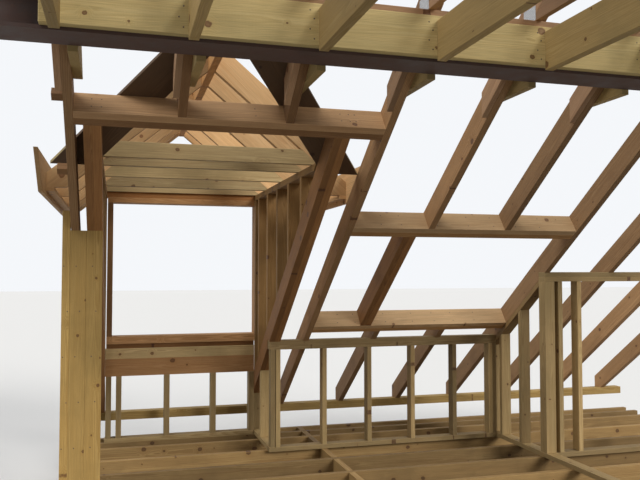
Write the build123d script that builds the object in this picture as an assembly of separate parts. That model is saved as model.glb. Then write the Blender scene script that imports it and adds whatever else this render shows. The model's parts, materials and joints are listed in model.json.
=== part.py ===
from build123d import *
import os
from math import cos, radians, sin, sqrt, tan

# Attic roof frame of site-cut timber under a row of nail-plated cap trusses.
# Millimetres. The setting-out frame used below has
#   x along the eaves, 0 at the wall line beside the first rafter,
#   y level and down the roof, 0 at the room-side face of the steel beam,
#   z up, 0 on top of the floor joists.
# The finished pieces are moved once, at the end, so that the origin lies
# under the middle of the whole frame.

# Roof slope
frame_length = 5700.0
roof_pitch = 36.0
rafter_width = 47.0
rafter_depth = 150.0
rafter_spacing = 600.0
rafter_grid_x = 40.0               # left face of the rafter grid
first_rafter_x = 55.0              # the first rafter is set in from the grid
rafter_seat_rise = 37.0            # rafters' underside at y = 0, above the beam's top plate

# Steel beam, a universal column section, with its ledger and top plate
beam_bearing = 200.0               # the beam runs this far past each end
beam_bottom = 2523.5
beam_depth = 215.8
beam_width = 206.4
beam_web = 10.0
beam_flange = 17.3
beam_root_radius = 10.2
plate_thickness = 47.0
plate_width = 97.0
ledger_depth = 200.0
steel_clearance = 1.6              # plumb cuts stand this far off the flange tip

# Ceiling joists on the room side and stubs on the roof side of the beam
ceiling_joist_length = 2100.0
ceiling_joist_depth = 200.0
ceiling_joist_drop = 25.0          # below the underside of the ledger
ceiling_joist_shift = 14.0         # to the left of each rafter
stub_depth = 200.0
stub_drop = 28.0                   # below the underside of the beam
stub_tenon_gap = 1.6               # from the end of the root radius

# Cap trusses
truss_width = 35.0
truss_span = 2400.0
truss_top_depth = 122.0
truss_bottom_depth = 97.0
truss_web_depth = 72.0
truss_tail = 585.0
nail_plate_thickness = 1.2
nail_plate_length = 112.0
nail_plate_height = 76.0

# Trimmers, by their distance down the slope from y = 0
header_at = 854.0
upper_trimmer_at = 1766.0
lower_trimmer_at = 3043.0
window_bay_first = 3               # the roof window lies between these two rafters
window_bay_last = 6
mid_rafter_gap = 396.0             # bay to the left of the roof window opening

# Eaves
eaves_plate_top = 214.5
eaves_plate_thickness = 72.0
eaves_plate_width = 97.0
wall_noggin_places = (742.0, 1290.0)
wall_noggin_depth = 47.0

# Dormer
cheek_width = 97.0
cheek_plate_drop = 685.8           # plates' underside below the rafters' at y = 0
dormer_clear_width = 1308.0
dormer_pitch = 40.0
dormer_birdsmouth = 50.3           # seat of the dormer rafters on the cheek plates
dormer_rafter_depth = 150.0
dormer_half_width = 1007.0         # to the plumb cuts of the rafters' tails
tail_plumb_cut = 95.0              # height left at the tails above their level cut
dormer_joist_depth = 97.0
dormer_joist_places = (1285.0, 1660.0, 2245.0, 2865.0, 3295.0)
gable_pair_place = 3555.0
cheek_stud_first = 1570.0
cheek_stud_spacing = 385.0
cheek_stud_count = 5
ridge_depth = 200.0
ridge_above_rafters = 4.2          # ridge board's top above the rafters' plumb cuts
valley_board_thickness = 25.0
valley_board_width = 200.0
valley_board_foot = 1405.0         # down the slope, where the boards are cut off level
valley_drop = 62.0                 # valley line below the dormer rafters' underside
fascia_thickness = 25.0
fascia_depth = 225.0
fascia_below_tails = 56.0
soffit_batten_width = 50.0
soffit_batten_depth = 25.0

# Front wall of the dormer and its window opening
front_wall_y = 3325.0
front_wall_depth = 97.0
frame_thickness = 47.0
jamb_depth = 145.0
jamb_overlap = 3.0                 # right jamb stands this far under the cheek plate
left_jamb_inset = 6.0              # from the left side rafter
window_sill_bottom = 851.5
window_sill_thickness = 66.0
sill_packer_height = 40.0
sill_packer_setback = 20.0
front_rail_depth = 89.0
front_trimmer_depth = 150.0
front_stud_offsets = (6.0, 92.0, 504.0, 914.0)

# Stud walls of the room
stud_thickness = 38.0
stud_depth = 89.0
knee_wall_inset = 4.0              # from the dormer's right side rafters
knee_wall_y = 2643.0
knee_wall_bite = 10.4              # depth of the rafters' birdsmouth at its near face
knee_wall_pair = (11.0, 54.0)
knee_wall_stud_spacing = 400.0
return_wall_stud_y = 3036.0
partition_start = 900.0
partition_stud_places = (2694.0, 2545.0, 2227.0)
panel_y = 1855.0
panel_bite = 4.9
panel_length = 1100.0
panel_stud_offsets = (123.0, 299.0)

# Post of three studs under the first rafters
post_y = 1486.0
post_x = 4.0
post_thickness = 47.0
post_width = 97.0
post_side_rise = 122.3             # the side stud passes the rafters' underside

# Floor
floor_joist_depth = 220.0
floor_joist_last = 3505.0
floor_joist_spacing = 400.0
floor_joist_count = 11
floor_noggin_x = 2003.0

s, c, t = sin(radians(roof_pitch)), cos(radians(roof_pitch)), tan(radians(roof_pitch))
dormer_t = tan(radians(dormer_pitch))
double = 2 * rafter_width
rafter_count = int((frame_length - rafter_grid_x - double) / rafter_spacing) + 1
rafter_xs = [first_rafter_x]
rafter_xs += [rafter_grid_x + rafter_spacing * i for i in range(1, rafter_count)]

beam_top = beam_bottom + beam_depth
top_plate_top = beam_top + plate_thickness
rafter_line_height = top_plate_top + rafter_seat_rise
side_left_x = first_rafter_x + 2 * rafter_width
side_right_x = side_left_x + double + dormer_clear_width
dormer_centre = side_left_x + double + dormer_clear_width / 2
cheek_outer = dormer_clear_width / 2 + cheek_width
cheek_plate_bottom = rafter_line_height - cheek_plate_drop
cheek_plate_top = cheek_plate_bottom + frame_thickness
dormer_seat = cheek_outer - dormer_birdsmouth
dormer_apex_height = cheek_plate_top + dormer_seat * dormer_t
dormer_rise = dormer_rafter_depth / cos(radians(dormer_pitch))
tail_top = dormer_apex_height - dormer_half_width * dormer_t + dormer_rise
tail_bottom = tail_top - tail_plumb_cut
valley_lift = rafter_depth + valley_board_thickness
knee_wall_x = side_right_x + knee_wall_inset
knee_wall_end = rafter_xs[window_bay_last]
knee_wall_back = knee_wall_y + stud_depth
front_wall_face = front_wall_y + jamb_depth
gable_front = gable_pair_place + rafter_width
eaves_seat = (rafter_line_height - eaves_plate_top) / t
eaves_end = eaves_seat + eaves_plate_width


def slope_z(y, height=0.0):
    """Height of the plane that lies `height` square above the rafters' underside."""
    return rafter_line_height + height / c - y * t


def slope_y(z, height=0.0):
    """Where the same plane has the height z."""
    return (rafter_line_height + height / c - z) / t


def slope_point(run, height):
    """(y, z) of a point `run` down the slope and `height` above the underside."""
    return run * c + height * s, rafter_line_height - run * s + height * c


knee_wall_height = slope_z(knee_wall_y) + knee_wall_bite
panel_height = slope_z(panel_y) + panel_bite


def bar(x, y, z):
    """Straight timber between two limits along each axis."""
    size = [high - low for low, high in (x, y, z)]
    middle = [(high + low) / 2 for low, high in (x, y, z)]
    return Pos(*middle) * Box(*size)


def profile_x(outline, x, width):
    """Outline of (y, z) points, made `width` thick along x."""
    face = make_face(Polyline(*outline, close=True))
    return extrude(Plane.YZ.offset(x) * face, width, dir=(1, 0, 0))


def profile_y(outline, y, width):
    """Outline of (x, z) points, made `width` thick along y."""
    face = make_face(Polyline(*[(x, y, z) for x, z in outline], close=True))
    return extrude(face, width, dir=(0, 1, 0))


def roof_bar(x, run, height):
    """Straight timber set square to the roof, by its run down the slope."""
    underside = Plane(origin=(0, 0, rafter_line_height), x_dir=(1, 0, 0), z_dir=(0, s, c))
    return underside.location * bar(x, run, height)


def beam_notch():
    """Cuts over the steel beam and its top plate, from the far side to the near side."""
    steel_face = beam_width + steel_clearance
    return [
        (steel_face, slope_z(steel_face)), (steel_face, beam_top),
        (slope_y(beam_top), beam_top), (plate_width, slope_z(plate_width)),
        (plate_width, top_plate_top), (slope_y(top_plate_top), top_plate_top)]


def wall_notch(near, top):
    """Birdsmouth over the head of a stud wall, from its far face to its near face."""
    far = near + stud_depth
    return [(far, slope_z(far)), (far, top), (near, top), (near, slope_z(near))]


def rafter_outline(run_start=None, run_end=None, walls=()):
    """Side view of a rafter, from the beam or a trimmer to the eaves or a trimmer."""
    if run_start is None:
        head, notch = [(0, slope_z(0)), (0, slope_z(0, rafter_depth))], beam_notch()
    else:
        head, notch = [slope_point(run_start, 0), slope_point(run_start, rafter_depth)], []
    if run_end is None:
        foot = [(eaves_end, slope_z(eaves_end, rafter_depth)), (eaves_end, eaves_plate_top),
                (eaves_seat, eaves_plate_top)]
    else:
        foot = [slope_point(run_end, rafter_depth), slope_point(run_end, 0)]
    for near, top in walls:
        foot += wall_notch(near, top)
    return head + foot + notch


def full_rafter(i):
    """Rafter i in one length, cut over whichever stud wall stands below it."""
    x = rafter_xs[i]
    walls = []
    if knee_wall_x < x < knee_wall_end:
        walls.append((knee_wall_y, knee_wall_height))
    if knee_wall_end <= x < knee_wall_end + panel_length:
        walls.append((panel_y, panel_height))
    return profile_x(rafter_outline(walls=walls), x, rafter_width)


def short_rafters(places, run_start=None, run_end=None):
    walls = [(knee_wall_y, knee_wall_height)] if run_end is None else []
    outline = rafter_outline(run_start, run_end, walls)
    return [profile_x(outline, rafter_xs[i], rafter_width) for i in places]


def dormer_side_rafters():
    """Doubled rafters under the dormer's cheeks: outer plies, then inner plies."""
    start = header_at + double
    plain = rafter_outline(run_start=start)
    over_wall = rafter_outline(run_start=start, walls=[(knee_wall_y, knee_wall_height)])
    outer = [profile_x(plain, side_left_x, rafter_width),
             profile_x(over_wall, side_right_x + rafter_width, rafter_width)]
    inner = [profile_x(plain, side_left_x + rafter_width, rafter_width),
             profile_x(over_wall, side_right_x, rafter_width)]
    return outer, inner


def steel_beam():
    """I section with root fillets, as one bar over the two bearings."""
    web, tip = beam_web / 2, beam_width / 2
    inner, outer = beam_depth / 2 - beam_flange, beam_depth / 2
    outline = Polyline(
        (-tip, -outer), (tip, -outer), (tip, -inner), (web, -inner),
        (web, inner), (tip, inner), (tip, outer), (-tip, outer),
        (-tip, inner), (-web, inner), (-web, -inner), (-tip, -inner), close=True)
    section = make_face(outline)
    roots = [v for v in section.vertices() if abs(abs(v.X) - web) < 0.01]
    section = fillet(roots, beam_root_radius)
    seat = Plane.YZ.offset(-beam_bearing) * Pos(tip, beam_bottom + outer)
    return [extrude(seat * section, frame_length + 2 * beam_bearing, dir=(1, 0, 0))]


def beam_timbers():
    x = (0, frame_length)
    ledger = bar(x, (-plate_thickness, 0), (beam_top - ledger_depth, beam_top))
    plate = bar(x, (0, plate_width), (beam_top, top_plate_top))
    return [ledger], [plate]


def ceiling_joists():
    y = (-plate_thickness - ceiling_joist_length, -plate_thickness)
    bottom = beam_top - ledger_depth - ceiling_joist_drop
    z = (bottom, bottom + ceiling_joist_depth)
    return [bar((x - ceiling_joist_shift, x - ceiling_joist_shift + rafter_width), y, z)
            for x in rafter_xs]


def ceiling_joist_stubs():
    """Stubs let in over the beam's bottom flange and cut off along the roof slope."""
    bottom = beam_bottom - stub_drop
    top = bottom + stub_depth
    start = (beam_width + beam_web) / 2 + beam_root_radius + stub_tenon_gap
    shoulder = beam_width + steel_clearance
    seat = beam_bottom + beam_flange
    outline = [
        (start, seat), (shoulder, seat), (shoulder, bottom),
        (slope_y(bottom, rafter_depth), bottom), (slope_y(top, rafter_depth), top),
        (start, top)]
    return [profile_x(outline, x + rafter_width, rafter_width) for x in rafter_xs]


def cap_trusses():
    """Top chords, bottom chords and king posts of the trusses on the beam's top plate."""
    heel = slope_y(top_plate_top, truss_top_depth)
    ridge = heel - truss_span / 2
    seat = slope_y(top_plate_top)
    chord_top = top_plate_top + truss_bottom_depth
    front = [
        (ridge, slope_z(ridge)), (ridge, slope_z(ridge, truss_top_depth)),
        (truss_tail, slope_z(truss_tail, truss_top_depth)), (truss_tail, slope_z(truss_tail))]
    front += beam_notch()
    back = [(2 * ridge - y, z) for y, z in (
        (ridge, slope_z(ridge)), (ridge, slope_z(ridge, truss_top_depth)),
        (heel, top_plate_top), (seat, top_plate_top))]
    bottom = [
        (2 * ridge - seat, top_plate_top), (seat, top_plate_top),
        (slope_y(chord_top), chord_top), (2 * ridge - slope_y(chord_top), chord_top)]
    half = truss_web_depth / 2
    king = [
        (ridge - half, chord_top), (ridge + half, chord_top),
        (ridge + half, slope_z(ridge + half)), (ridge, slope_z(ridge)),
        (ridge - half, slope_z(ridge + half))]
    return [[profile_x(outline, x - truss_width, truss_width) for x in rafter_xs]
            for outline in (front, back, bottom, king)]


def nail_plates():
    """Pressed plates on both faces of the cap trusses' joints."""
    ridge = slope_y(top_plate_top, truss_top_depth) - truss_span / 2
    low = top_plate_top + nail_plate_height / 2 + 3
    half = nail_plate_length / 2
    apex = slope_z(ridge, truss_top_depth / 6)
    foot = top_plate_top + truss_bottom_depth
    joints = [
        (2 * ridge - half, low, nail_plate_length, nail_plate_height),
        (ridge, apex, nail_plate_length, nail_plate_height),
        (ridge, foot, truss_web_depth, nail_plate_length)]
    # On the right the far heel's plate stops at the rafter nailed against the truss
    left = joints + [(half, low, nail_plate_length, nail_plate_height)]
    right = joints + [(-half, low, nail_plate_length, nail_plate_height)]
    plates = []
    for x in rafter_xs:
        for face, places in ((x - truss_width - nail_plate_thickness, left), (x, right)):
            for y, z, length, height in places:
                plates.append(bar(
                    (face, face + nail_plate_thickness),
                    (y - length / 2, y + length / 2), (z - height / 2, z + height / 2)))
    return plates


def header_plies():
    x = (rafter_xs[0] + rafter_width, rafter_xs[window_bay_first])
    middle = header_at + rafter_width
    upper = roof_bar(x, (header_at, middle), (0, rafter_depth))
    lower = roof_bar(x, (middle, header_at + double), (0, rafter_depth))
    return [upper], [lower]


def window_trimmers():
    """Doubled trimmers above and below the roof window opening, ply by ply."""
    x = (rafter_xs[window_bay_first] + rafter_width, rafter_xs[window_bay_last])
    plies = []
    for shift in (0, rafter_width):
        plies.append([roof_bar(x, (at + shift, at + shift + rafter_width), (0, rafter_depth))
                      for at in (upper_trimmer_at, lower_trimmer_at)])
    return plies


def mid_rafters():
    """Doubled rafter beside the roof window opening."""
    run = (upper_trimmer_at + double, lower_trimmer_at)
    first = rafter_xs[window_bay_first] + rafter_width + mid_rafter_gap
    return [[roof_bar((x, x + rafter_width), run, (0, rafter_depth))]
            for x in (first, first + rafter_width)]


def wall_noggins():
    """Short blocks from the first rafter to the wall line."""
    return [roof_bar((0, first_rafter_x), (at, at + rafter_width), (0, wall_noggin_depth))
            for at in wall_noggin_places]


def eaves_plate():
    return [bar((0, frame_length), (eaves_seat, eaves_end),
                (eaves_plate_top - eaves_plate_thickness, eaves_plate_top))]


def cheek(x):
    """Studs of one cheek, scribed to the side rafters, and the plate over them."""
    places = [cheek_stud_first + i * cheek_stud_spacing for i in range(cheek_stud_count)]
    places.append(front_wall_y - frame_thickness)
    studs = []
    for y in places:
        far = y + frame_thickness
        studs.append(profile_x([
            (y, slope_z(y, rafter_depth)), (far, slope_z(far, rafter_depth)),
            (far, cheek_plate_bottom), (y, cheek_plate_bottom)], x, cheek_width))
    plate = profile_x([
        (slope_y(cheek_plate_bottom, valley_lift), cheek_plate_bottom),
        (front_wall_face, cheek_plate_bottom), (front_wall_face, cheek_plate_top),
        (slope_y(cheek_plate_top, valley_lift), cheek_plate_top)], x, cheek_width)
    return studs, [plate]


def dormer_rafters(side):
    """Rafters on one side of the dormer: the first stops on the cheek plate beside the
    valley board, the others run on to the fascia and are cut off level below."""
    def under(out):
        return dormer_apex_height - out * dormer_t

    ridge_face = rafter_width / 2
    head = [(ridge_face, under(ridge_face)), (ridge_face, under(ridge_face) + dormer_rise)]
    seat = [(cheek_outer, cheek_plate_top), (dormer_seat, cheek_plate_top)]
    short = head + [(cheek_outer, under(cheek_outer) + dormer_rise)] + seat
    level_start = (dormer_apex_height - tail_bottom) / dormer_t
    long = head + [
        (dormer_half_width, tail_top), (dormer_half_width, tail_bottom),
        (level_start, tail_bottom), (cheek_outer, under(cheek_outer))] + seat
    outlines = [short] + [long] * len(dormer_joist_places)
    rafters = []
    for outline, y in zip(outlines, (*dormer_joist_places, gable_pair_place)):
        placed = [(dormer_centre + side * out, z) for out, z in outline]
        rafters.append(profile_y(placed, y, rafter_width))
    return rafters


def dormer_ceiling_joists():
    """Ties on the cheek plates with ends bevelled under the dormer rafters."""
    top = cheek_plate_top + dormer_joist_depth
    bevel = (dormer_apex_height - top) / dormer_t
    outline = [(-dormer_seat, cheek_plate_top), (dormer_seat, cheek_plate_top),
               (bevel, top), (-bevel, top)]
    placed = [(dormer_centre + x, z) for x, z in outline]
    return [profile_y(placed, y, frame_thickness) for y in dormer_joist_places]


def dormer_ridge():
    """Ridge board, its upper end cut down onto the valley boards."""
    top = dormer_apex_height - rafter_width / 2 * dormer_t + dormer_rise + ridge_above_rafters
    bottom = top - ridge_depth
    outline = [
        (slope_y(bottom, valley_lift), bottom), (gable_front, bottom), (gable_front, top),
        (slope_y(top, valley_lift), top)]
    return [profile_x(outline, dormer_centre - rafter_width / 2, rafter_width)]


def valley_boards():
    """Boards laid on the rafters under the valleys, mitred under the ridge."""
    fall = dormer_t / s
    start = (rafter_line_height + rafter_depth * c - dormer_apex_height + valley_drop) / s
    across = valley_board_width * sqrt(1 + fall ** 2)
    surface = Plane(origin=(dormer_centre, rafter_depth * s, rafter_line_height + rafter_depth * c),
                    x_dir=(1, 0, 0), z_dir=(0, s, c))
    boards = []
    for side in (-1, 1):
        inner = side * (valley_board_foot - start) / fall
        outer = side * (valley_board_foot - start + across) / fall
        outline = [(0, start), (inner, valley_board_foot), (outer, valley_board_foot),
                   (0, start - across)]
        face = make_face(Polyline(*outline, close=True))
        boards.append([surface.location * extrude(face, valley_board_thickness, dir=(0, 0, 1))])
    return boards


def dormer_fascias():
    """Boards nailed to the dormer rafters' tails, cut off along the roof."""
    bottom = tail_bottom - fascia_below_tails
    top = bottom + fascia_depth
    outline = [
        (slope_y(bottom, rafter_depth), bottom), (gable_front, bottom),
        (gable_front, top), (slope_y(top, rafter_depth), top)]
    left = dormer_centre - dormer_half_width - fascia_thickness
    right = dormer_centre + dormer_half_width
    return [profile_x(outline, x, fascia_thickness) for x in (left, right)]


def soffit_battens():
    """Battens under the tails' level cuts, against the fascias."""
    y = (dormer_joist_places[1], gable_front)
    z = (tail_bottom - soffit_batten_depth, tail_bottom)
    inner = dormer_half_width - soffit_batten_width
    return [bar((dormer_centre - dormer_half_width, dormer_centre - inner), y, z),
            bar((dormer_centre + inner, dormer_centre + dormer_half_width), y, z)]


def window_frame():
    """Jambs, head, head plate, sill and packer of the dormer window opening."""
    y = (front_wall_y, front_wall_face)
    between = (side_left_x + double, side_right_x)
    left = between[0] + left_jamb_inset
    right = between[1] + jamb_overlap
    sill_top = window_sill_bottom + window_sill_thickness
    head_bottom = cheek_plate_bottom - frame_thickness
    jambs = [bar((x, x + frame_thickness), y, (sill_top, head_bottom)) for x in (left, right)]
    full = (left, right + frame_thickness)
    head = bar(full, y, (head_bottom, cheek_plate_bottom))
    head_plate = bar(between, y, (cheek_plate_bottom, cheek_plate_top))
    sill = bar(full, y, (window_sill_bottom, sill_top))
    packer = bar((left, between[1]), (y[0] + sill_packer_setback, y[1]),
                 (window_sill_bottom - sill_packer_height, window_sill_bottom))
    return jambs, [head], [head_plate], [sill], [packer]


def front_wall():
    """Wall below the dormer window: sole plate, studs, trimmer and rail on edge."""
    x = (side_left_x + double, side_right_x)
    rail_top = window_sill_bottom - sill_packer_height
    trimmer_top = rail_top - front_rail_depth
    trimmer_bottom = trimmer_top - front_trimmer_depth
    deep = (front_wall_y, front_wall_y + front_wall_depth)
    edge = (front_wall_y, front_wall_y + frame_thickness)
    sole = bar(x, deep, (0, stud_thickness))
    places = [x[0] + offset for offset in front_stud_offsets] + [x[1] - frame_thickness]
    studs = [bar((place, place + frame_thickness), deep, (stud_thickness, trimmer_bottom))
             for place in places]
    trimmer = bar(x, edge, (trimmer_bottom, trimmer_top))
    rail = bar(x, edge, (trimmer_top, rail_top))
    return [sole], studs, [trimmer], [rail]


def knee_wall():
    """Low wall under the rafters, with doubled heads and doubled end studs."""
    x = (knee_wall_x, knee_wall_end)
    y = (knee_wall_y, knee_wall_back)
    split = knee_wall_height - stud_thickness
    under = split - stud_thickness
    sole = bar(x, y, (0, stud_thickness))
    lower = bar(x, y, (under, split))
    upper = bar(x, y, (split, knee_wall_height))
    end = x[1] - 2 * stud_thickness
    places = [x[0] + offset for offset in knee_wall_pair]
    count = int((end - stud_thickness - places[1]) / knee_wall_stud_spacing)
    places += [places[1] + knee_wall_stud_spacing * i for i in range(1, count + 1)]
    places.append(x[1] - stud_thickness)
    studs = [bar((place, place + stud_thickness), y, (stud_thickness, under))
             for place in places]
    end_stud = bar((end, end + stud_thickness), y, (stud_thickness, under))
    return [sole], studs, [end_stud], [lower], [upper]


def return_wall():
    """Short wall from the knee wall to the front wall, under the side rafters."""
    x = (knee_wall_x, knee_wall_x + stud_depth)
    end = front_wall_y + front_wall_depth
    sole = bar(x, (knee_wall_back, end), (0, stud_thickness))
    studs = []
    for y in (return_wall_stud_y, end - stud_thickness):
        far = y + stud_thickness
        studs.append(profile_x([
            (y, stud_thickness), (far, stud_thickness), (far, slope_z(far)),
            (y, slope_z(y))], x[0], stud_depth))
    return [sole], studs


def partition():
    """Wall up the slope under a full rafter, with a raking head plate."""
    x = (knee_wall_end, knee_wall_end + stud_depth)
    near = panel_y + stud_depth
    sole = bar(x, (partition_start, knee_wall_back), (0, stud_thickness))
    raking = profile_x([
        (near, slope_z(near, -stud_thickness)), (near, slope_z(near)),
        (knee_wall_back, slope_z(knee_wall_back)),
        (knee_wall_back, slope_z(knee_wall_back, -stud_thickness))], x[0], stud_depth)
    studs = []
    for y in partition_stud_places:
        far = y + stud_thickness
        studs.append(profile_x([
            (y, stud_thickness), (far, stud_thickness), (far, slope_z(far, -stud_thickness)),
            (y, slope_z(y, -stud_thickness))], x[0], stud_depth))
    return [sole], studs, [raking]


def stud_panel():
    """Cross wall at the top of the partition, with a square post and doubled heads."""
    x = (knee_wall_end, knee_wall_end + panel_length)
    y = (panel_y, panel_y + stud_depth)
    split = panel_height - stud_thickness
    under = split - stud_thickness
    sole = bar((x[0] + stud_depth, x[1]), y, (0, stud_thickness))
    lower = bar(x, y, (under, split))
    upper = bar(x, y, (split, panel_height))
    studs = [bar((x[0], x[0] + stud_depth), y, (stud_thickness, under))]
    places = [x[0] + offset for offset in panel_stud_offsets] + [x[1] - stud_thickness]
    studs += [bar((place, place + stud_thickness), y, (stud_thickness, under))
              for place in places]
    return [sole], studs, [lower], [upper]


def post():
    """Three studs side by side under the first rafter and the dormer's side rafters."""
    y = (post_y, post_y + post_thickness)
    places = [post_x + post_thickness, post_x + post_thickness + post_width]
    wide = [profile_x([(y[0], 0), (y[1], 0), (y[1], slope_z(y[1])), (y[0], slope_z(y[0]))],
                      x, post_width) for x in places]
    side = bar((post_x, post_x + post_thickness), y, (0, slope_z(post_y) + post_side_rise))
    return [side, wide[1]], [wide[0]]


def floor():
    """Joists along the eaves, one more under the front wall, and a row of noggins."""
    x = (0, frame_length)
    z = (-floor_joist_depth, 0)
    places = [floor_joist_last - floor_joist_spacing * i for i in range(floor_joist_count)]
    places = sorted(places + [front_wall_y])
    joists = [bar(x, (y, y + rafter_width), z) for y in places]
    row = (floor_noggin_x, floor_noggin_x + rafter_width)
    noggins = [bar(row, (near + rafter_width, far), z) for near, far in zip(places, places[1:])]
    return joists, noggins


def build():
    """All nodes by name, each a list of pieces in the setting-out frame."""
    nodes = {"steel_beam": steel_beam()}
    nodes["beam_side_ledger"], nodes["beam_top_plate"] = beam_timbers()
    nodes["ceiling_joists"] = ceiling_joists()
    nodes["ceiling_joist_stubs"] = ceiling_joist_stubs()
    front, back, bottom, kings = cap_trusses()
    nodes["cap_truss_front_chords"] = front
    nodes["cap_truss_back_chords"] = back
    nodes["cap_truss_bottom_chords"] = bottom
    nodes["cap_truss_king_posts"] = kings
    nodes["cap_truss_nail_plates"] = nail_plates()

    over_dormer = range(1, window_bay_first)
    bay = range(window_bay_first + 1, window_bay_last)
    nodes["full_rafters"] = [full_rafter(i) for i in range(rafter_count)
                             if i not in over_dormer and i not in bay]
    nodes["rafters_over_dormer"] = short_rafters(over_dormer, run_end=header_at)
    nodes["rafters_over_window"] = short_rafters(bay, run_end=upper_trimmer_at)
    nodes["rafters_under_window"] = short_rafters(bay, run_start=lower_trimmer_at + double)
    outer, inner = dormer_side_rafters()
    nodes["dormer_side_rafters_outer"] = outer
    nodes["dormer_side_rafters_inner"] = inner
    nodes["dormer_header_upper_ply"], nodes["dormer_header_lower_ply"] = header_plies()
    upper_plies, lower_plies = window_trimmers()
    nodes["window_trimmers_upper_ply"] = upper_plies
    nodes["window_trimmers_lower_ply"] = lower_plies
    nodes["window_mid_rafter_left"], nodes["window_mid_rafter_right"] = mid_rafters()
    nodes["wall_noggins"] = wall_noggins()
    nodes["eaves_wall_plate"] = eaves_plate()

    left_studs, left_plate = cheek(side_left_x + double - cheek_width)
    right_studs, right_plate = cheek(side_right_x)
    nodes["cheek_studs"] = left_studs + right_studs
    nodes["cheek_plates"] = left_plate + right_plate
    nodes["dormer_rafters"] = dormer_rafters(-1) + dormer_rafters(1)
    nodes["dormer_ceiling_joists"] = dormer_ceiling_joists()
    nodes["dormer_ridge_board"] = dormer_ridge()
    nodes["valley_board_left"], nodes["valley_board_right"] = valley_boards()
    nodes["dormer_fascias"] = dormer_fascias()
    nodes["dormer_soffit_battens"] = soffit_battens()
    jambs, head, head_plate, sill, packer = window_frame()
    nodes["window_jambs"] = jambs
    nodes["window_head"] = head
    nodes["window_head_plate"] = head_plate
    nodes["window_sill"] = sill
    nodes["window_sill_packer"] = packer
    sole, studs, trimmer, rail = front_wall()
    nodes["front_wall_sole_plate"] = sole
    nodes["front_wall_studs"] = studs
    nodes["front_wall_trimmer"] = trimmer
    nodes["front_wall_rail"] = rail

    sole, studs, end_stud, lower, upper = knee_wall()
    nodes["knee_wall_sole_plate"] = sole
    nodes["knee_wall_studs"] = studs
    nodes["knee_wall_end_stud"] = end_stud
    nodes["knee_wall_lower_head"] = lower
    nodes["knee_wall_upper_head"] = upper
    nodes["return_wall_sole_plate"], nodes["return_wall_studs"] = return_wall()
    sole, studs, raking = partition()
    nodes["partition_sole_plate"] = sole
    nodes["partition_studs"] = studs
    nodes["partition_raking_plate"] = raking
    sole, studs, lower, upper = stud_panel()
    nodes["panel_sole_plate"] = sole
    nodes["panel_studs"] = studs
    nodes["panel_lower_head"] = lower
    nodes["panel_upper_head"] = upper
    nodes["post_outer_studs"], nodes["post_middle_stud"] = post()
    nodes["floor_joists"], nodes["floor_noggins"] = floor()
    return nodes


def node_solids(pieces):
    return [solid for piece in pieces for solid in piece.solids()]


def write(nodes):
    """Move the origin under the middle of the frame and write one file a node."""
    boxes = [piece.bounding_box() for pieces in nodes.values() for piece in pieces]
    middle_x = (min(b.min.X for b in boxes) + max(b.max.X for b in boxes)) / 2
    middle_y = (min(b.min.Y for b in boxes) + max(b.max.Y for b in boxes)) / 2
    shift = Pos(-middle_x, -middle_y, -min(b.min.Z for b in boxes))
    os.makedirs("parts", exist_ok=True)
    for name, pieces in nodes.items():
        moved = [shift * solid for solid in node_solids(pieces)]
        export_step(Compound(children=moved), f"parts/{name}.step")


write(build())
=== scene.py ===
"""Looks of a timber attic roof frame: sawn and planed softwood, a primed steel beam and pressed nail plates."""

import json
import math

import bmesh
import bpy
import numpy as np
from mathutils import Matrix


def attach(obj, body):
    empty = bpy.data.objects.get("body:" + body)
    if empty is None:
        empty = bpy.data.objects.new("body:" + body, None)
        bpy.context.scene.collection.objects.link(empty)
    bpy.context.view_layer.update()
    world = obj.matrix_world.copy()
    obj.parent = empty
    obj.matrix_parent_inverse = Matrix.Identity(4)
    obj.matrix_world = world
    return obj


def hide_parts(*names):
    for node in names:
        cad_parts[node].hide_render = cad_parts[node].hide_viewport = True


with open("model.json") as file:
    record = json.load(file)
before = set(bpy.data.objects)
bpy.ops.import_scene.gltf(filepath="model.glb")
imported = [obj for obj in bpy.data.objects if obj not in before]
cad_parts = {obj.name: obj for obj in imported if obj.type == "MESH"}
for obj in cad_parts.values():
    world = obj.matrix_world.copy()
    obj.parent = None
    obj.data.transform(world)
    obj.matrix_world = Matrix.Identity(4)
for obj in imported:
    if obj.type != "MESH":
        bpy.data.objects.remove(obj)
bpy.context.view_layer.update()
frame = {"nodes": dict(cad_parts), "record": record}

BODY = "root"

# ---------------------------------------------------------------- sizes in metres, and angles
WELD_DISTANCE = 0.00002
FLAT_ANGLE = math.radians(1.0)
ARRIS_ANGLE = math.radians(25.0)
PLANED_ARRIS = 0.0026
SAWN_ARRIS = 0.0016
ARRIS_STEPS = 2
SAW_MARK = 0.0065
PLATE_SLOT_LENGTH = 0.0125
PLATE_SLOT_WIDTH = 0.0065
FLOOR_REACH = 60.0

# ---------------------------------------------------------------- figure of the wood
# cells a metre along, across and through a timber, one knot at most in each
KNOT_CELLS = (4.2, 7.5, 0.0)
# back to metres; shorter than a cell along the grain, so that a knot is drawn out that way
KNOT_METRES = (1 / 4.9, 1 / 7.5, 0.0)
KNOT_RAGGED = (0.055, 0.07, 0.0)
# how far the figure is moved from one seed to the next, so that no two timbers share it
SEED_SHIFT = (71.3, 17.9, 9.1)

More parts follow.
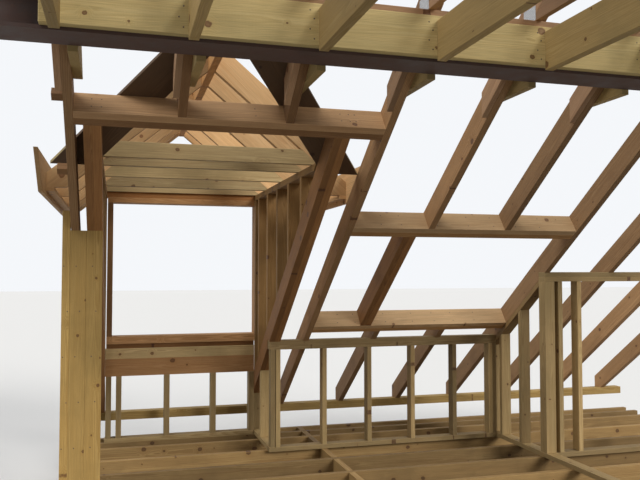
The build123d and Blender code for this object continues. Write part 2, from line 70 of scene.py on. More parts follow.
# ---------------------------------------------------------------- places of the nails, in metres of the setting-out
# x is along the eaves from the wall line, run is down the slope from the steel's face, and a height on the roof is
# above the rafters' underside
SETTING_OUT = (-2.850, -0.77035, 0.220)
ROOF_PITCH = 36.0
UNDERSIDE = 2.8233
HEADER_RUN = 0.854
TRIMMER_RUNS = (1.766, 3.043)
POST_FACE = 1.486
LEDGER_FACE = -0.047
NAILS_IN_HEADER = (0.196, 0.243, 1.070, 1.580, 1.625, 1.668)
HEADER_HEIGHTS = (0.048, 0.106)
NAILS_IN_TRIMMERS = (1.91, 2.10, 2.25, 2.52, 2.75, 2.96, 3.13, 3.35)
NAILED_PLIES = ((0.055, -1.0), (1.645, 1.0), (1.551, -1.0))
RAFTER_HEIGHTS = (0.035, 0.115)
RAFTER_FIRST, RAFTER_STEP, RAFTER_COUNT = 1.05, 0.30, 9
NAILS_IN_POST = (0.0275, 0.0995, 0.1965)
POST_FIRST, POST_STEP, POST_COUNT = 0.12, 0.28, 6
JOISTS_ON_LEDGER = (0.626, 1.226, 1.826, 2.426, 3.026, 3.626, 4.226, 4.826, 5.426)
LEDGER_HEIGHTS = (2.570, 2.615, 2.665, 2.705)
NAIL_SIDES = 8
NAIL_RADIUS = 0.0042
NAIL_RINGS = ((NAIL_RADIUS, -0.0002), (0.75 * NAIL_RADIUS, 0.0007))
NAIL_TOP = 0.0010

# ---------------------------------------------------------------- light and camera
SKY_COLOUR = (0.95, 0.97, 1.0)
SKY_LIGHT = 0.33
SKY_SEEN = 0.96
FLOOR_TO_LIGHT = (0.25, 0.245, 0.235)
FLOOR_SEEN = (0.76, 0.76, 0.755)
KEY_LAMP = dict(towards=(0.45, -0.80, 0.42), softness=25.0, strength=2.3, colour=(1.0, 0.97, 0.92))
SIDE_LAMP = dict(towards=(-0.62, -0.22, 0.80), softness=40.0, strength=1.9, colour=(1.0, 0.99, 0.97))
EYE = (-2.517, -4.01535, 1.7125)
LOOK_UP = 2.43
LOOK_RIGHT = 15.69
SENSOR_WIDTH = 36.0
LENS = 40.6

# ---------------------------------------------------------------- finishes of the metals
PRIMER = dict(dark=(0.035, 0.017, 0.012), pale=(0.060, 0.028, 0.020), freckle=(0.075, 0.028, 0.012),
              scuff=(0.055, 0.040, 0.034), dust=(0.15, 0.105, 0.07))
ZINC = dict(dark=(0.50, 0.52, 0.54), pale=(0.66, 0.68, 0.69), cut=(0.10, 0.075, 0.05))
NAIL_STEEL = dict(dark=(0.05, 0.042, 0.036), pale=(0.16, 0.12, 0.09))

# ---------------------------------------------------------------- finishes of the timbers
# early wood, late wood, knot and stain colours, set against the photo; then how much the tone differs from
# timber to timber, the share of cells with a knot, the width of a ring and the arris
TIMBERS = {
    "ledger_timber": dict(early=(0.70, 0.56, 0.27), late=(0.52, 0.38, 0.15), knot=(0.15, 0.065, 0.022),
                          stain=(0.40, 0.33, 0.15), spread=0.22, knots=0.55, rings=0.0042, arris=PLANED_ARRIS),
    "truss_timber": dict(early=(0.48, 0.30, 0.17), late=(0.31, 0.17, 0.09), knot=(0.10, 0.04, 0.017),
                         stain=(0.24, 0.145, 0.07), spread=0.28, knots=0.46, rings=0.0040, arris=PLANED_ARRIS),
    "rafter_timber": dict(early=(0.48, 0.29, 0.14), late=(0.29, 0.155, 0.065), knot=(0.085, 0.034, 0.014),
                          stain=(0.20, 0.11, 0.048), spread=0.30, knots=0.50, rings=0.0042, arris=SAWN_ARRIS),
    "trimmer_timber": dict(early=(0.66, 0.46, 0.26), late=(0.47, 0.29, 0.135), knot=(0.15, 0.065, 0.027),
                           stain=(0.38, 0.24, 0.12), spread=0.22, knots=0.50, rings=0.0040, arris=SAWN_ARRIS),
    "stud_timber": dict(early=(0.50, 0.36, 0.17), late=(0.33, 0.21, 0.085), knot=(0.11, 0.045, 0.015),
                        stain=(0.25, 0.18, 0.075), spread=0.30, knots=0.58, rings=0.0044, arris=PLANED_ARRIS),
    "cheek_timber": dict(early=(0.30, 0.175, 0.062), late=(0.18, 0.092, 0.026), knot=(0.075, 0.03, 0.01),
                         stain=(0.14, 0.078, 0.024), spread=0.30, knots=0.50, rings=0.0044, arris=PLANED_ARRIS),
    "dormer_timber": dict(early=(0.74, 0.50, 0.26), late=(0.56, 0.33, 0.14), knot=(0.22, 0.09, 0.032),
                          stain=(0.44, 0.26, 0.115), spread=0.26, knots=0.50, rings=0.0042, arris=SAWN_ARRIS),
    # valley boards: their wood colours are painted shade, far darker than the same softwood elsewhere; edge is
    # painted light, a paler colour on the boards' narrow edges
    "valley_timber": dict(early=(0.16, 0.09, 0.045), late=(0.09, 0.05, 0.023), knot=(0.04, 0.017, 0.008),
                          stain=(0.07, 0.04, 0.02), spread=0.28, knots=0.50, rings=0.0044, arris=SAWN_ARRIS,
                          edge=(0.42, 0.33, 0.16)),
    "window_timber": dict(early=(0.50, 0.28, 0.12), late=(0.33, 0.16, 0.055), knot=(0.11, 0.042, 0.014),
                          stain=(0.25, 0.13, 0.05), spread=0.26, knots=0.46, rings=0.0040, arris=SAWN_ARRIS),
    "post_timber": dict(early=(0.47, 0.31, 0.105), late=(0.30, 0.175, 0.045), knot=(0.10, 0.04, 0.013),
                        stain=(0.22, 0.145, 0.045), spread=0.26, knots=0.62, rings=0.0044, arris=PLANED_ARRIS),
    "floor_timber": dict(early=(0.38, 0.25, 0.10), late=(0.23, 0.13, 0.045), knot=(0.08, 0.034, 0.012),
                         stain=(0.17, 0.105, 0.04), spread=0.32, knots=0.50, rings=0.0044, arris=SAWN_ARRIS),
}

# timbers drawn darker, redder or paler than the rest of their slot: the slot's colours times one of these three. The
# dark batch is painted shade and the pale batch painted light, laid into these timbers' wood; the red batch is darker
# and redder
SHADED_RED_LIT_TONES = {"dark": (0.60, 0.54, 0.48), "red": (0.85, 0.70, 0.52), "pale": (1.25, 1.30, 1.40)}
SHADED_RED_LIT_BATCHES = {
    "dark": ("ceiling_joist_stubs", "ceiling_joists", "rafters_over_dormer", "dormer_header_lower_ply",
             "partition_raking_plate", "wall_noggins", "window_sill_packer"),
    "red": ("dormer_ridge_board", "dormer_side_rafters_outer", "dormer_side_rafters_inner",
            "window_mid_rafter_left", "window_mid_rafter_right", "window_trimmers_lower_ply", "window_head_plate"),
    "pale": ("dormer_header_upper_ply", "dormer_ceiling_joists", "front_wall_rail", "window_sill",
             "eaves_wall_plate"),
}
LIGHTEST_WOOD = 0.8


# ---------------------------------------------------------------- node helpers
def fill(tree, socket, value):
    """A socket is linked; a number, vector or colour is written on the input."""
    if isinstance(value, bpy.types.NodeSocket):
        tree.links.new(value, socket)
    elif value is not None:
        socket.default_value = value


def put(tree, kind, inputs=(), **settings):
    """One node with its settings, and its inputs filled by name or number."""
    node = tree.nodes.new(kind)
    for key, value in settings.items():
        setattr(node, key, value)
    for key, value in dict(inputs).items():
        fill(tree, node.inputs[key], value)
    return node


def calc(tree, operation, *values):
    """Arithmetic on numbers."""
    return put(tree, "ShaderNodeMath", enumerate(values), operation=operation).outputs[0]


def vector(tree, operation, *values):
    """Arithmetic on vectors; a length or a dot product gives a number."""
    node = put(tree, "ShaderNodeVectorMath", enumerate(values), operation=operation)
    return node.outputs["Value" if operation in ("LENGTH", "DOT_PRODUCT") else "Vector"]


def ease(tree, value, low, high, start=0.0, end=1.0):
    """A smooth step of value from low to high, giving start to end."""
    node = put(tree, "ShaderNodeMapRange", {0: value, 1: low, 2: high, 3: start, 4: end},
               interpolation_type="SMOOTHSTEP")
    return node.outputs[0]


def tint(tree, factor, first, second):
    """Two colours mixed by a factor."""
    node = put(tree, "ShaderNodeMix", data_type="RGBA")
    fill(tree, node.inputs[0], factor)
    fill(tree, node.inputs[6], first)
    fill(tree, node.inputs[7], second)
    return node.outputs[2]


def noise(tree, place, scale, detail=2.0, rough=0.5):
    """Cloudy noise from 0 to 1."""
    node = put(tree, "ShaderNodeTexNoise", {"Vector": place, "Scale": scale, "Detail": detail, "Roughness": rough})
    return node.outputs[0]


def parts(tree, value):
    """The three numbers of a vector."""
    return put(tree, "ShaderNodeSeparateXYZ", {0: value}).outputs


def group(name, inputs, outputs):
    """An empty node group with named sockets: (name, kind, default) in, (name, kind) out."""
    tree = bpy.data.node_groups.new(name, "ShaderNodeTree")
    for title, kind, default in inputs:
        socket = tree.interface.new_socket(title, in_out="INPUT", socket_type=kind)
        if default is not None:
            socket.default_value = default
    for title, kind in outputs:
        tree.interface.new_socket(title, in_out="OUTPUT", socket_type=kind)
    return tree, tree.nodes.new("NodeGroupInput").outputs, tree.nodes.new("NodeGroupOutput").inputs


NUMBER = "NodeSocketFloat"
VECTOR = "NodeSocketVector"


# ---------------------------------------------------------------- shared effects
def board_figure():
    """Growth rings round a pith line beside the board, fibres along it, and knots that cross its thickness."""
    tree, given, made = group(
        "board_figure",
        [("Place", VECTOR, None), ("Seed", NUMBER, 0.5), ("Ring Width", NUMBER, 0.005),
         ("Knot Share", NUMBER, 0.5), ("Knot Radius", NUMBER, 0.015)],
        [("Rings", NUMBER), ("Fibre", NUMBER), ("Knot", NUMBER), ("Halo", NUMBER), ("Cloud", NUMBER),
         ("Streak", NUMBER), ("Luck", NUMBER)])
    shift = put(tree, "ShaderNodeVectorMath", {0: SEED_SHIFT}, operation="SCALE")
    fill(tree, shift.inputs["Scale"], given["Seed"])
    moved = vector(tree, "ADD", given["Place"], shift.outputs[0])
    luck = put(tree, "ShaderNodeTexWhiteNoise", {"W": given["Seed"]}, noise_dimensions="1D")
    luck = parts(tree, luck.outputs["Color"])
    along, across, through = parts(tree, given["Place"])[:3]

    # knots: one may lie in each cell, and goes right through the timber's thickness
    laid = vector(tree, "MULTIPLY", moved, KNOT_CELLS)
    cells = put(tree, "ShaderNodeTexVoronoi", {"Vector": laid, "Scale": 1.0, "Randomness": 0.9},
                voronoi_dimensions="2D", feature="F1")
    lot = parts(tree, cells.outputs["Color"])
    ragged = put(tree, "ShaderNodeTexNoise", {"Vector": moved, "Scale": 60.0, "Detail": 2.0}).outputs["Color"]
    ragged = vector(tree, "MULTIPLY", vector(tree, "SUBTRACT", ragged, (0.5, 0.5, 0.5)), KNOT_RAGGED)
    away = vector(tree, "ADD", vector(tree, "SUBTRACT", laid, cells.outputs["Position"]), ragged)
    reach = vector(tree, "LENGTH", vector(tree, "MULTIPLY", away, KNOT_METRES))
    size = calc(tree, "ADD", calc(tree, "MULTIPLY", lot[0], lot[0]), 0.25)
    radius = calc(tree, "MULTIPLY", given["Knot Radius"], size)
    shown = calc(tree, "LESS_THAN", lot[1], given["Knot Share"])
    near = calc(tree, "DIVIDE", reach, radius)
    rim = ease(tree, near, 0.25, 0.85, 0.86, 1.0)
    knot = calc(tree, "MULTIPLY", calc(tree, "MULTIPLY", ease(tree, near, 1.2, 0.85), shown), rim)
    halo = calc(tree, "MULTIPLY", ease(tree, near, 3.8, 0.9), shown)

    # rings: distance from a pith line that leans and wanders beside the board
    lean = calc(tree, "MULTIPLY", along, calc(tree, "MULTIPLY", calc(tree, "SUBTRACT", luck[0], 0.5), 0.05))
    wander = calc(tree, "MULTIPLY", noise(tree, vector(tree, "MULTIPLY", moved, (0.9, 2.5, 2.5)), 1.0), 0.03)
    pith_across = calc(tree, "MULTIPLY", calc(tree, "SUBTRACT", luck[1], 0.5), 0.14)
    pith_through = calc(tree, "ADD", calc(tree, "MULTIPLY", luck[2], 0.06), 0.02)
    side = calc(tree, "ADD", calc(tree, "SUBTRACT", across, pith_across), calc(tree, "ADD", lean, wander))
    deep = calc(tree, "ADD", calc(tree, "SUBTRACT", through, pith_through), wander)
    turned = put(tree, "ShaderNodeCombineXYZ", {0: side, 1: deep}).outputs[0]
    rough_edge = noise(tree, vector(tree, "MULTIPLY", moved, (2.2, 38.0, 38.0)), 1.0, 3.0)
    phase = calc(tree, "DIVIDE", vector(tree, "LENGTH", turned), given["Ring Width"])
    phase = calc(tree, "ADD", phase, calc(tree, "MULTIPLY", rough_edge, 1.4))
    phase = calc(tree, "ADD", phase, calc(tree, "MULTIPLY", halo, 2.6))
    ring = calc(tree, "FRACT", phase)
    ring = calc(tree, "MULTIPLY", ease(tree, ring, 0.15, 0.85), ease(tree, ring, 1.0, 0.9))

    fibre = noise(tree, vector(tree, "MULTIPLY", moved, (7.0, 240.0, 240.0)), 1.0, 3.0, 0.6)
    cloud = noise(tree, vector(tree, "MULTIPLY", moved, (1.1, 5.0, 5.0)), 1.0, 3.0, 0.55)
    streak = noise(tree, vector(tree, "MULTIPLY", moved, (1.5, 34.0, 34.0)), 1.0, 4.0, 0.6)
    streak = ease(tree, streak, 0.36, 0.68)
    for title, value in dict(Rings=ring, Fibre=fibre, Knot=knot, Halo=halo, Cloud=cloud, Streak=streak,
                             Luck=luck[2]).items():
        fill(tree, made[title], value)
    return tree


def arris_wear():
    """How near a point is to an arris: the middle one of its three distances to the timber's sides."""
    tree, given, made = group("arris_wear", [("Place", VECTOR, None), ("Half", VECTOR, None)],
                              [("Wear", NUMBER)])
    a, b, c = parts(tree, vector(tree, "SUBTRACT", given["Half"], vector(tree, "ABSOLUTE", given["Place"])))[:3]
    total = calc(tree, "ADD", calc(tree, "ADD", a, b), c)
    least = calc(tree, "MINIMUM", calc(tree, "MINIMUM", a, b), c)
    most = calc(tree, "MAXIMUM", calc(tree, "MAXIMUM", a, b), c)
    middle = calc(tree, "SUBTRACT", calc(tree, "SUBTRACT", total, least), most)
    fray = calc(tree, "MULTIPLY", noise(tree, given["Place"], 34.0, 3.0), 0.009)
    fill(tree, made["Wear"], ease(tree, calc(tree, "SUBTRACT", middle, fray), 0.003, -0.004))
    return tree


def end_grain():
    """One where a face looks along the grain, nought where it looks across it."""
    tree, given, made = group("end_grain", [("Grain", VECTOR, None), ("Normal", VECTOR, None)],
                              [("End", NUMBER)])
    along = calc(tree, "ABSOLUTE", vector(tree, "DOT_PRODUCT", given["Grain"], given["Normal"]))
    fill(tree, made["End"], ease(tree, along, 0.45, 0.75))
    return tree


def site_dirt():
    """Patches of rain stain and trodden dirt in metres of the whole frame, stronger on faces that look up."""
    tree, given, made = group("site_dirt", [("Point", VECTOR, None), ("Normal", VECTOR, None)],
                              [("Stain", NUMBER), ("Dust", NUMBER)])
    broad = noise(tree, given["Point"], 2.3, 4.0, 0.6)
    fine = noise(tree, given["Point"], 46.0, 3.0, 0.6)
    up = parts(tree, given["Normal"])[2]
    fill(tree, made["Stain"], ease(tree, broad, 0.48, 0.72))
    fill(tree, made["Dust"], calc(tree, "MULTIPLY", ease(tree, up, 0.3, 0.9), ease(tree, fine, 0.45, 0.75)))
    return tree


FIGURE = board_figure()
WEAR = arris_wear()
END = end_grain()
DIRT = site_dirt()


def shell(name):
    """A new material: its tree, its shader and the two nodes that give its point and its normal."""
    material = bpy.data.materials.new(name)
    material.use_nodes = True
    tree = material.node_tree
    shader = next(n for n in tree.nodes if n.type == "BSDF_PRINCIPLED")
    spot = tree.nodes.new("ShaderNodeTexCoord").outputs
    return material, tree, shader, spot


def own(tree, name):
    """The value that a timber's mesh holds for it under this name."""
    return put(tree, "ShaderNodeAttribute", attribute_name=name)


def use(tree, effect, inputs):
    """A shared effect placed in a material."""
    node = put(tree, "ShaderNodeGroup", node_tree=effect)
    for key, value in inputs.items():
        fill(tree, node.inputs[key], value)
    return node.outputs


def opaque(colour):
    """A colour with full opacity."""
    return (*colour, 1.0)


def timber(name, look):
    """Softwood with its rings, knots, stains and worn arrises, and a tone for each timber by its seed."""
    material, tree, shader, spot = shell(name + "_wood")
    place = own(tree, "timber_place").outputs["Vector"]
    half = own(tree, "timber_half").outputs["Vector"]
    grain = own(tree, "timber_grain").outputs["Vector"]
    seed = own(tree, "timber_seed").outputs["Fac"]
    figure = use(tree, FIGURE, {"Place": place, "Seed": seed, "Ring Width": look["rings"],
                                "Knot Share": look["knots"]})
    worn = use(tree, WEAR, {"Place": place, "Half": half})["Wear"]
    end = use(tree, END, {"Grain": grain, "Normal": spot["Normal"]})["End"]
    dirt = use(tree, DIRT, {"Point": spot["Object"], "Normal": spot["Normal"]})

    # each layer: where it lies, its strength and the look's colour that it brings
    layers = (
        (figure["Rings"], 0.8, "late"), (figure["Streak"], 0.45, "late"), (figure["Luck"], 0.3, "stain"),
        (ease(tree, figure["Cloud"], 0.4, 0.7), 0.35, "stain"), (dirt["Stain"], 0.45, "stain"),
        (figure["Halo"], 0.4, "late"), (figure["Knot"], 0.92, "knot"), (end, 0.35, "stain"),
        (worn, 0.3, "early"))
    colour = opaque(look["early"])
    for mask, strength, wood in layers:
        colour = tint(tree, calc(tree, "MULTIPLY", mask, strength), colour, opaque(look[wood]))
    # painted light: the look's edge colour on a board's narrow edges and the last 1 to 4 mm of its faces beside them
    if "edge" in look:
        reach = parts(tree, vector(tree, "SUBTRACT", half, vector(tree, "ABSOLUTE", place)))[1]
        colour = tint(tree, ease(tree, reach, 0.004, 0.001), colour, opaque(look["edge"]))
    tone = calc(tree, "MULTIPLY", calc(tree, "SUBTRACT", seed, 0.5), 2.0 * look["spread"])
    tone = calc(tree, "ADD", tone, 1.0)
    tone = calc(tree, "MULTIPLY", tone, ease(tree, figure["Fibre"], 0.2, 0.8, 0.86, 1.12))
    colour = put(tree, "ShaderNodeVectorMath", {0: colour}, operation="SCALE")
    fill(tree, colour.inputs["Scale"], tone)
    fill(tree, shader.inputs["Base Color"], colour.outputs[0])

    rough = calc(tree, "ADD", calc(tree, "MULTIPLY", figure["Fibre"], 0.2), 0.62)
    rough = calc(tree, "SUBTRACT", rough, calc(tree, "MULTIPLY", figure["Knot"], 0.15))
    fill(tree, shader.inputs["Roughness"], rough)
    along = parts(tree, place)[0]
    saw = calc(tree, "SINE", calc(tree, "MULTIPLY", along, 2.0 * math.pi / SAW_MARK))
    height = calc(tree, "ADD", calc(tree, "MULTIPLY", figure["Fibre"], 0.6), calc(tree, "MULTIPLY", saw, 0.08))
    height = calc(tree, "ADD", height, calc(tree, "MULTIPLY", figure["Rings"], 0.3))
    bump = put(tree, "ShaderNodeBump", {"Strength": 0.5, "Distance": 0.0011, "Height": height})
    fill(tree, shader.inputs["Normal"], bump.outputs[0])
    shader.inputs["Specular IOR Level"].default_value = 0.32
    return material


def primer():
    """Red-brown primer on rolled steel: mottled, with rust freckles, scuffs and dust on what looks up."""
    material, tree, shader, spot = shell("red_brown_primer")
    point = spot["Object"]
    dirt = use(tree, DIRT, {"Point": point, "Normal": spot["Normal"]})
    mottle = noise(tree, point, 9.0, 5.0, 0.65)
    freckle = ease(tree, noise(tree, point, 120.0, 2.0, 0.5), 0.63, 0.72)
    scuff = noise(tree, vector(tree, "MULTIPLY", point, (2.0, 20.0, 30.0)), 1.0, 5.0, 0.7)
    scuff = ease(tree, scuff, 0.62, 0.74)
    colour = tint(tree, ease(tree, mottle, 0.3, 0.7), opaque(PRIMER["dark"]), opaque(PRIMER["pale"]))
    for mask, strength, coat in ((freckle, 0.6, "freckle"), (scuff, 0.45, "scuff"), (dirt["Dust"], 0.5, "dust")):
        colour = tint(tree, calc(tree, "MULTIPLY", mask, strength), colour, opaque(PRIMER[coat]))
    fill(tree, shader.inputs["Base Color"], colour)
    fill(tree, shader.inputs["Roughness"], ease(tree, mottle, 0.2, 0.8, 0.58, 0.8))
    height = calc(tree, "ADD", calc(tree, "MULTIPLY", mottle, 0.6), calc(tree, "MULTIPLY", freckle, 0.4))
    bump = put(tree, "ShaderNodeBump", {"Strength": 0.4, "Distance": 0.0008, "Height": height})
    fill(tree, shader.inputs["Normal"], bump.outputs[0])
    return material


def nail_plate_zinc():
    """Galvanised plate with rows of slots that its teeth were pressed from, and zinc spangle."""
    material, tree, shader, spot = shell("nail_plate_zinc")
    place = own(tree, "timber_place").outputs["Vector"]
    along, across = parts(tree, place)[:2]
    rows = calc(tree, "DIVIDE", across, PLATE_SLOT_WIDTH)
    row = calc(tree, "FRACT", rows)
    shift = calc(tree, "MULTIPLY", calc(tree, "FLOOR", rows), 0.5)
    line = calc(tree, "FRACT", calc(tree, "ADD", calc(tree, "DIVIDE", along, PLATE_SLOT_LENGTH), shift))
    slot_across = ease(tree, calc(tree, "ABSOLUTE", calc(tree, "SUBTRACT", row, 0.5)), 0.27, 0.2)
    slot_along = ease(tree, calc(tree, "ABSOLUTE", calc(tree, "SUBTRACT", line, 0.5)), 0.36, 0.3)
    cut = calc(tree, "MULTIPLY", slot_across, slot_along)
    spangle = put(tree, "ShaderNodeTexVoronoi", {"Vector": spot["Object"], "Scale": 90.0}, feature="F1")
    flake = parts(tree, spangle.outputs["Color"])[0]
    colour = tint(tree, flake, opaque(ZINC["dark"]), opaque(ZINC["pale"]))
    colour = tint(tree, calc(tree, "MULTIPLY", cut, 0.85), colour, opaque(ZINC["cut"]))
    fill(tree, shader.inputs["Base Color"], colour)
    fill(tree, shader.inputs["Metallic"], calc(tree, "SUBTRACT", 0.85, calc(tree, "MULTIPLY", cut, 0.8)))
    fill(tree, shader.inputs["Roughness"], ease(tree, flake, 0.0, 1.0, 0.38, 0.55))
    height = calc(tree, "SUBTRACT", calc(tree, "MULTIPLY", flake, 0.05), cut)
    bump = put(tree, "ShaderNodeBump", {"Strength": 0.8, "Distance": 0.0009, "Height": height})
    fill(tree, shader.inputs["Normal"], bump.outputs[0])
    return material


# ---------------------------------------------------------------- pieces
def islands(count, edges):
    """The lowest vertex number that each vertex is joined to, found by passing the lower number along edges."""
    label = np.arange(count)
    while True:
        lower = np.minimum(label[edges[:, 0]], label[edges[:, 1]])
        fresh = label.copy()
        np.minimum.at(fresh, edges[:, 0], lower)
        np.minimum.at(fresh, edges[:, 1], lower)
        fresh = fresh[fresh]
        if np.array_equal(fresh, label):
            return np.unique(label, return_inverse=True)[1].reshape(-1)
        label = fresh


def timber_axes(mesh, first_seed):
    """Each timber's own frame and place in it.

    The faces' normals, weighted by area, are added up as n n^T for each timber. The direction with least area is the
    grain, the one with most is the thickness. Place is the point measured in those directions from the middle of the
    timber, and half is half its size in each.
    """
    count = len(mesh.vertices)
    points = np.empty(count * 3)
    mesh.vertices.foreach_get("co", points)
    points = points.reshape(-1, 3)
    edges = np.empty(len(mesh.edges) * 2, int)
    mesh.edges.foreach_get("vertices", edges)
    owner = islands(count, edges.reshape(-1, 2))
    total = owner.max() + 1
    face_count = len(mesh.polygons)
    normals = np.empty(face_count * 3)
    mesh.polygons.foreach_get("normal", normals)
    normals = normals.reshape(-1, 3)
    areas = np.empty(face_count)
    mesh.polygons.foreach_get("area", areas)
    corners = np.empty(len(mesh.loops), int)
    mesh.loops.foreach_get("vertex_index", corners)
    starts = np.empty(face_count, int)
    mesh.polygons.foreach_get("loop_start", starts)
    face_owner = owner[corners[starts]]
    spread = np.zeros((total, 3, 3))
    np.add.at(spread, face_owner, areas[:, None, None] * normals[:, :, None] * normals[:, None, :])
    axes = np.linalg.eigh(spread)[1].transpose(0, 2, 1)
    biggest = np.take_along_axis(axes, np.abs(axes).argmax(axis=2)[:, :, None], axis=2)
    axes = axes * np.sign(biggest)
    local = np.einsum("nij,nj->ni", axes[owner], points)
    low = np.full((total, 3), np.inf)
    high = np.full((total, 3), -np.inf)
    np.minimum.at(low, owner, local)
    np.maximum.at(high, owner, local)
    middle = (low + high) / 2
    half = (high - low) / 2
    seeds = np.random.default_rng(first_seed).random(total)
    for name, kind, values in (("timber_place", "FLOAT_VECTOR", local - middle[owner]),
                               ("timber_half", "FLOAT_VECTOR", half[owner]),
                               ("timber_grain", "FLOAT_VECTOR", axes[owner, 0]),
                               ("timber_seed", "FLOAT", seeds[owner])):
        held = mesh.attributes.new(name, kind, "POINT")
        held.data.foreach_set("vector" if kind == "FLOAT_VECTOR" else "value", values.astype(np.float32).ravel())


def dressed(node, material, arris, first_seed):
    """A merged copy of the node's mesh with its arrises eased, which stands for the node."""
    mesh = frame["nodes"][node].data.copy()
    mesh.name = "dressed_" + node
    work = bmesh.new()
    work.from_mesh(mesh)
    bmesh.ops.remove_doubles(work, verts=work.verts, dist=WELD_DISTANCE)
    bmesh.ops.dissolve_limit(work, angle_limit=FLAT_ANGLE, verts=work.verts, edges=work.edges)
    if arris:
        sharp = [e for e in work.edges if e.is_manifold and e.calc_face_angle() > ARRIS_ANGLE]
        bmesh.ops.bevel(work, geom=sharp, offset=arris, offset_type="OFFSET", segments=ARRIS_STEPS,
                        profile=0.5, affect="EDGES", clamp_overlap=True)
    work.to_mesh(mesh)
    work.free()
    timber_axes(mesh, first_seed)
    mesh.materials.clear()
    mesh.materials.append(material)
    piece = bpy.data.objects.new("dressed_" + node, mesh)
    bpy.context.scene.collection.objects.link(piece)
    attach(piece, BODY)
    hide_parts(node)
    return piece


MATERIALS = {slot: timber(slot, look) for slot, look in TIMBERS.items()}
MATERIALS["steel_primer"] = primer()
MATERIALS["galvanised_plate"] = nail_plate_zinc()


def toned(node, slot):
    """The slot's timber, or the same with its wood in the tone of the batch that this node belongs to: painted shade
    for the dark batch, painted light for the pale one, darker and redder for the red one.
    """
    for batch, nodes in SHADED_RED_LIT_BATCHES.items():
        if node in nodes:
            look = dict(TIMBERS[slot])
            for key in ("early", "late", "stain", "knot"):
                look[key] = tuple(min(LIGHTEST_WOOD, a * b) for a, b in zip(look[key], SHADED_RED_LIT_TONES[batch]))
            return timber(node, look)
    return MATERIALS[slot]


for number, part in enumerate(frame["record"]["subparts"]):
    slot = part["material_slot"]
    node = part["node"]
    if slot in TIMBERS:
        dressed(node, toned(node, slot), TIMBERS[slot]["arris"], number)
    elif slot == "galvanised_plate":
        dressed(node, MATERIALS[slot], 0.0, number)
    else:
        cad = frame["nodes"][node]
        cad.data.materials.clear()
        cad.data.materials.append(MATERIALS[slot])


# ---------------------------------------------------------------- nails
def nail_places():
    """Each nail's point and the way that it looks out of the timber; the sines keep them off a ruled line."""
    pitch = math.radians(ROOF_PITCH)
    down = np.array((0.0, math.cos(pitch), -math.sin(pitch)))
    out = np.array((0.0, math.sin(pitch), math.cos(pitch)))
    start = np.array(SETTING_OUT)
    to_room = np.array((0.0, -1.0, 0.0))

    def on_roof(x, run, height):
        return start + np.array((x, 0.0, UNDERSIDE)) + run * down + height * out

    heads = []
    for x in NAILS_IN_HEADER:
        for height in HEADER_HEIGHTS:
            heads.append((on_roof(x + 0.004 * math.sin(90 * x), HEADER_RUN, height), -down))
    for run in TRIMMER_RUNS:
        for x in NAILS_IN_TRIMMERS:
            for height in RAFTER_HEIGHTS:
                heads.append((on_roof(x + 0.012 * math.sin(70 * x + 90 * height), run, height), -down))
    for x, sign in NAILED_PLIES:
        for step in range(RAFTER_COUNT):
            for height in RAFTER_HEIGHTS:
                run = RAFTER_FIRST + RAFTER_STEP * step + 0.03 * math.sin(5 * step + 40 * height)
                heads.append((on_roof(x, run, height), np.array((sign, 0.0, 0.0))))
    for x in NAILS_IN_POST:
        for step in range(POST_COUNT):
            height = POST_FIRST + POST_STEP * step
            heads.append((start + (x + 0.012 * (-1) ** step, POST_FACE, height), to_room))
    for x in JOISTS_ON_LEDGER:
        for step, height in enumerate(LEDGER_HEIGHTS):
            heads.append((start + (x - 0.022 - 0.02 * (step % 2), LEDGER_FACE, height), to_room))
    return heads


def nail_heads():
    """Round nail heads, each a low dome of two rings and a top.

    A point of a ring is place + radius (cos a across + sin a over) + lift look, where across and over are square to
    the way that the nail looks. The radii are r and 0.75 r, the lifts -0.2 and 0.7 mm, and the top is lifted 1 mm.
    """
    points, faces = [], []
    turn = np.arange(NAIL_SIDES) * 2 * math.pi / NAIL_SIDES
    for place, look in nail_places():
        across = np.cross(look, (0.31, 0.52, 0.79))
        across /= np.linalg.norm(across)
        over = np.cross(look, across)
        outer = len(points)
        inner, top = outer + NAIL_SIDES, outer + 2 * NAIL_SIDES
        for radius, lift in NAIL_RINGS:
            for a in turn:
                points.append(place + radius * (math.cos(a) * across + math.sin(a) * over) + lift * look)
        points.append(place + NAIL_TOP * look)
        for k in range(NAIL_SIDES):
            n = (k + 1) % NAIL_SIDES
            faces.append((outer + k, outer + n, inner + n, inner + k))
            faces.append((inner + k, inner + n, top))
    mesh = bpy.data.meshes.new("nail_heads")
    mesh.from_pydata([tuple(p) for p in points], [], faces)
    mesh.shade_smooth()
    material, tree, shader, spot = shell("nail_steel")
    speck = noise(tree, spot["Object"], 300.0, 2.0)
    fill(tree, shader.inputs["Base Color"], tint(tree, speck, opaque(NAIL_STEEL["dark"]), opaque(NAIL_STEEL["pale"])))
    shader.inputs["Metallic"].default_value = 0.7
    shader.inputs["Roughness"].default_value = 0.5
    mesh.materials.append(material)
    piece = bpy.data.objects.new("nail_heads", mesh)
    bpy.context.scene.collection.objects.link(piece)
    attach(piece, BODY)


nail_heads()


# ---------------------------------------------------------------- floor, light and camera
def looked_at(tree):
    """One for what the camera sees straight, mirrored or through glass, nought for light thrown back."""
    ray = put(tree, "ShaderNodeLightPath").outputs
    return calc(tree, "MAXIMUM", calc(tree, "MAXIMUM", ray["Is Camera Ray"], ray["Is Glossy Ray"]),
                ray["Is Transmission Ray"])


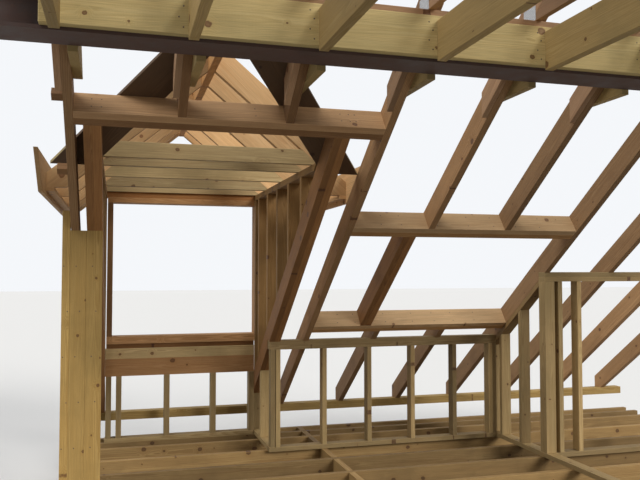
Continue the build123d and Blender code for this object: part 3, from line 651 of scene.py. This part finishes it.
def stage_floor():
    """A wide pale floor under the frame. It throws less light back up than is seen in it or mirrored in metal."""
    mesh = bpy.data.meshes.new("stage_floor")
    corners = [(FLOOR_REACH * x, FLOOR_REACH * y, 0) for x, y in ((-1, -1), (1, -1), (1, 1), (-1, 1))]
    mesh.from_pydata(corners, [], [(0, 1, 2, 3)])
    material, tree, shader, _ = shell("pale_floor")
    fill(tree, shader.inputs["Base Color"],
         tint(tree, looked_at(tree), opaque(FLOOR_TO_LIGHT), opaque(FLOOR_SEEN)))
    shader.inputs["Roughness"].default_value = 0.9
    mesh.materials.append(material)
    floor = bpy.data.objects.new("stage_floor", mesh)
    bpy.context.scene.collection.objects.link(floor)


def sky():
    """Pale light from all round; the camera sees it near white."""
    world = bpy.data.worlds.new("pale_sky")
    world.use_nodes = True
    tree = world.node_tree
    background = next(n for n in tree.nodes if n.type == "BACKGROUND")
    background.inputs["Color"].default_value = opaque(SKY_COLOUR)
    fill(tree, background.inputs["Strength"], ease(tree, looked_at(tree), 0.0, 1.0, SKY_LIGHT, SKY_SEEN))
    bpy.context.scene.world = world


def lamp(name, towards, softness, strength, colour):
    """A far lamp: the direction that its light comes from, and its softness in degrees."""
    data = bpy.data.lights.new(name, "SUN")
    data.angle = math.radians(softness)
    data.energy = strength
    data.color = colour
    light = bpy.data.objects.new(name, data)
    x, y, z = towards
    light.rotation_euler = (math.atan2(math.hypot(x, y), z), 0, math.atan2(y, x) + math.pi / 2)
    bpy.context.scene.collection.objects.link(light)


def camera():
    """At the photograph's place, looking right of square to the eaves and a little up."""
    data = bpy.data.cameras.new("camera")
    data.sensor_width = SENSOR_WIDTH
    data.lens = LENS
    data.clip_start = 0.05
    data.clip_end = 200.0
    eye = bpy.data.objects.new("camera", data)
    eye.location = EYE
    eye.rotation_euler = (math.radians(90.0 + LOOK_UP), 0.0, math.radians(-LOOK_RIGHT))
    bpy.context.scene.collection.objects.link(eye)
    bpy.context.scene.camera = eye


stage_floor()
sky()
lamp("key_lamp", **KEY_LAMP)
lamp("side_lamp", **SIDE_LAMP)
camera()
bpy.context.scene.view_settings.view_transform = "Standard"
